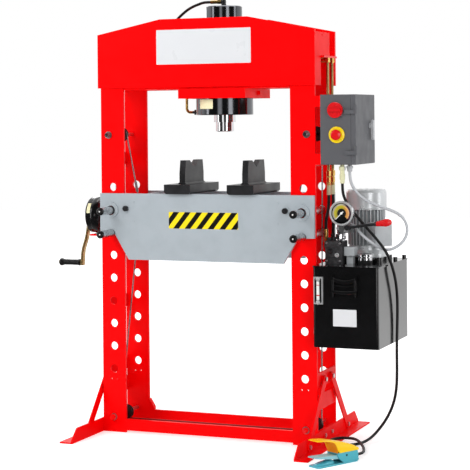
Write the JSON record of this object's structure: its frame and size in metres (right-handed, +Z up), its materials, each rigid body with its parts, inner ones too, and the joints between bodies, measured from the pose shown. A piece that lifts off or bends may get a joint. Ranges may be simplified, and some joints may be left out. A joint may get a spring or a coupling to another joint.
{
  "type": "hydraulic workshop press",
  "caption": "Floor-standing H-frame workshop press with a motor pump, sliding cylinder, winch-lifted bed, V-blocks, pins, control box and foot pedal.",
  "frame": {"origin": "middle of the footprint at floor level, free cables left out", "axes": "+Z up, front faces -Y, +X towards the pump side"},
  "size_m": [1.6329, 0.9416, 1.898],
  "materials": {
    "red": "gloss",
    "grey": "semi-gloss",
    "black": "semi-gloss",
    "dark_grey": "satin",
    "zinc": "plated",
    "steel": "machined",
    "box_grey": "fine texture",
    "silver": "satin",
    "chrome": "polished",
    "red_plastic": "gloss",
    "yellow_plastic": "gloss",
    "cream_plastic": "satin",
    "black_plastic": "satin",
    "grey_plastic": "satin",
    "black_rubber": "satin",
    "grey_rubber": "satin",
    "clear": "clear",
    "orange": "gloss",
    "teal": "satin",
    "white_paint": "satin",
    "yellow_zinc": "yellow zinc plated"
  },
  "bodies": {
    "frame": {"right_webs": "red", "left_webs": "red", "column_ties": "red", "base_beams": "red", "feet_and_braces": "red", "crown_rails": "red", "frame_fasteners": "zinc", "crown_plates": "red", "crown_end_plates": "red", "rigid_pipes": "yellow_zinc", "valve_hoses": "black_rubber", "control_box": "box_grey", "stop_collar": "yellow_plastic", "cable_glands": "cream_plastic", "tank": "black", "tank_lid": "black", "sight_glass": "clear", "motor_body": "silver", "fan_cover": "silver", "terminal_box": "silver", "valve_block": "dark_grey", "gauge_case": "chrome", "winch_base": "red", "winch_cover": "black", "steel_cables": "steel", "pedal_base": "teal", "pedal_hood": "orange", "pedal_cable": "black_rubber", "switch_cable": "grey_rubber"},
    "carriage": {"carriage": "red", "cylinder": "dark_grey", "cylinder_fittings": "yellow_zinc", "crown_hoses": "black_rubber"},
    "ram": {"ram": "chrome", "ram_nose": "chrome"},
    "bed": {"bed_plates": "grey", "bed_cross_plates": "grey", "anchor_rods": "black", "v_blocks": "dark_grey"},
    "winch_drum": {"winch_drum": "zinc"},
    "winch_crank": {"winch_crank": "yellow_zinc"},
    "crank_grip": {"crank_grip": "black_plastic"},
    "box_door": {"box_door": "box_grey"},
    "door_handle": {"door_handle": "grey_plastic"},
    "rotary_switch": {"rotary_switch": "red_plastic"},
    "emergency_stop": {"emergency_stop": "red_plastic"},
    "filler_cap": {"filler_cap": "chrome"},
    "carry_handle": {"carry_handle": "black"},
    "valve_lever": {"valve_lever": "black"},
    "gauge_needle": {"gauge_needle": "white_paint"},
    "motor_rotor": {"motor_rotor": "black_plastic"},
    "pedal_tread": {"pedal_tread": "teal"},
    "pin_left_upper": {"pin_left_upper": "steel"},
    "sheave_left_upper": {"sheave_left_upper": "black"},
    "pin_left_lower": {"pin_left_lower": "steel"},
    "sheave_left_lower": {"sheave_left_lower": "black"},
    "pin_right_upper": {"pin_right_upper": "steel"},
    "sheave_right_upper": {"sheave_right_upper": "black"},
    "pin_right_lower": {"pin_right_lower": "steel"},
    "sheave_right_lower": {"sheave_right_lower": "black"}
  },
  "joints": [
    {"name": "carriage_slide", "type": "slide", "parent": "frame", "child": "carriage", "axis": [1, 0, 0], "range_m": [-0.096, 0.014], "deforming": ["crown_hoses"]},
    {"name": "ram_slide", "type": "slide", "parent": "carriage", "child": "ram", "axis": [0, 0, -1], "range_m": [0, 0.25]},
    {"name": "bed_lift", "type": "slide", "parent": "frame", "child": "bed", "axis": [0, 0, 1], "range_m": [0, 0.0039]},
    {"name": "winch_crank_turn", "type": "hinge", "parent": "frame", "child": "winch_crank", "pos_m": [-0.62901, 0.01181, 0.95], "axis": [1, 0, 0], "range_deg": [-66, 0]},
    {"name": "winch_drum_turn", "type": "hinge", "parent": "frame", "child": "winch_drum", "pos_m": [-0.50901, 0.01181, 0.95], "axis": [1, 0, 0], "range_deg": [-7, 0]},
    {"name": "sheave_left_upper_turn", "type": "hinge", "parent": "frame", "child": "sheave_left_upper", "pos_m": [-0.49101, 0.04581, 1.308], "axis": [0, 1, 0], "range_deg": [-8.5, 0]},
    {"name": "sheave_left_lower_turn", "type": "hinge", "parent": "frame", "child": "sheave_left_lower", "pos_m": [-0.47701, 0.04581, 0.066], "axis": [0, 1, 0], "range_deg": [0, 8.5]},
    {"name": "sheave_right_upper_turn", "type": "hinge", "parent": "frame", "child": "sheave_right_upper", "pos_m": [0.43299, 0.04581, 1.308], "axis": [0, 1, 0], "range_deg": [0, 8.5]},
    {"name": "sheave_right_lower_turn", "type": "hinge", "parent": "frame", "child": "sheave_right_lower", "pos_m": [0.41899, 0.04581, 0.066], "axis": [0, 1, 0], "range_deg": [0, 8.5]},
    {"name": "crank_grip_spin", "type": "hinge", "parent": "winch_crank", "child": "crank_grip", "pos_m": [-0.72901, 0.01181, 0.733], "axis": [1, 0, 0], "continuous": true},
    {"name": "pin_left_upper_pull", "type": "slide", "parent": "frame", "child": "pin_left_upper", "axis": [0, -1, 0], "range_m": [0, 0.32]},
    {"name": "pin_left_lower_pull", "type": "slide", "parent": "frame", "child": "pin_left_lower", "axis": [0, -1, 0], "range_m": [0, 0.32]},
    {"name": "pin_right_upper_pull", "type": "slide", "parent": "frame", "child": "pin_right_upper", "axis": [0, -1, 0], "range_m": [0, 0.32]},
    {"name": "pin_right_lower_pull", "type": "slide", "parent": "frame", "child": "pin_right_lower", "axis": [0, -1, 0], "range_m": [0, 0.32]},
    {"name": "box_door_hinge", "type": "hinge", "parent": "frame", "child": "box_door", "pos_m": [0.65099, -0.08719, 1.3], "axis": [0, 0, -1], "range_deg": [0, 110]},
    {"name": "door_handle_turn", "type": "hinge", "parent": "box_door", "child": "door_handle", "pos_m": [0.64799, 0.12381, 1.34], "axis": [1, 0, 0], "range_deg": [0, 90]},
    {"name": "rotary_switch_turn", "type": "hinge", "parent": "frame", "child": "rotary_switch", "pos_m": [0.56099, -0.08019, 1.408], "axis": [0, 1, 0], "range_deg": [0, 90]},
    {"name": "emergency_stop_press", "type": "slide", "parent": "frame", "child": "emergency_stop", "axis": [0, 1, 0], "range_m": [0, 0.006]},
    {"name": "filler_cap_lift", "type": "slide", "parent": "frame", "child": "filler_cap", "axis": [0, 0, 1], "range_m": [0, 0.05]},
    {"name": "carry_handle_swing", "type": "hinge", "parent": "frame", "child": "carry_handle", "pos_m": [0.61599, -0.15419, 0.716], "axis": [-1, 0, 0], "range_deg": [0, 150]},
    {"name": "valve_lever_turn", "type": "hinge", "parent": "frame", "child": "valve_lever", "pos_m": [0.59699, -0.04219, 0.916], "axis": [0, 1, 0], "range_deg": [-15, 25]},
    {"name": "gauge_needle_turn", "type": "hinge", "parent": "frame", "child": "gauge_needle", "pos_m": [0.57599, -0.06219, 0.977], "axis": [0, 1, 0], "range_deg": [0, 240]},
    {"name": "motor_spin", "type": "hinge", "parent": "frame", "child": "motor_rotor", "pos_m": [0.62599, 0.13481, 0.985], "axis": [0, 0, 1], "continuous": true},
    {"name": "pedal_press", "type": "hinge", "parent": "frame", "child": "pedal_tread", "pos_m": [0.63908, -0.31204, 0.033], "axis": [0.8796, -0.4756, 0], "range_deg": [0, 10], "stiffness_Nm_per_rad": 6, "springref_deg": -8.59}
  ],
  "couplings": [
    {"joint": "winch_crank_turn", "follows": "bed_lift", "rad_per_m": -294.12},
    {"joint": "winch_drum_turn", "follows": "bed_lift", "rad_per_m": -29.412},
    {"joint": "sheave_left_upper_turn", "follows": "bed_lift", "rad_per_m": -37.037},
    {"joint": "sheave_left_lower_turn", "follows": "bed_lift", "rad_per_m": 37.037},
    {"joint": "sheave_right_upper_turn", "follows": "bed_lift", "rad_per_m": 37.037},
    {"joint": "sheave_right_lower_turn", "follows": "bed_lift", "rad_per_m": 37.037}
  ]
}
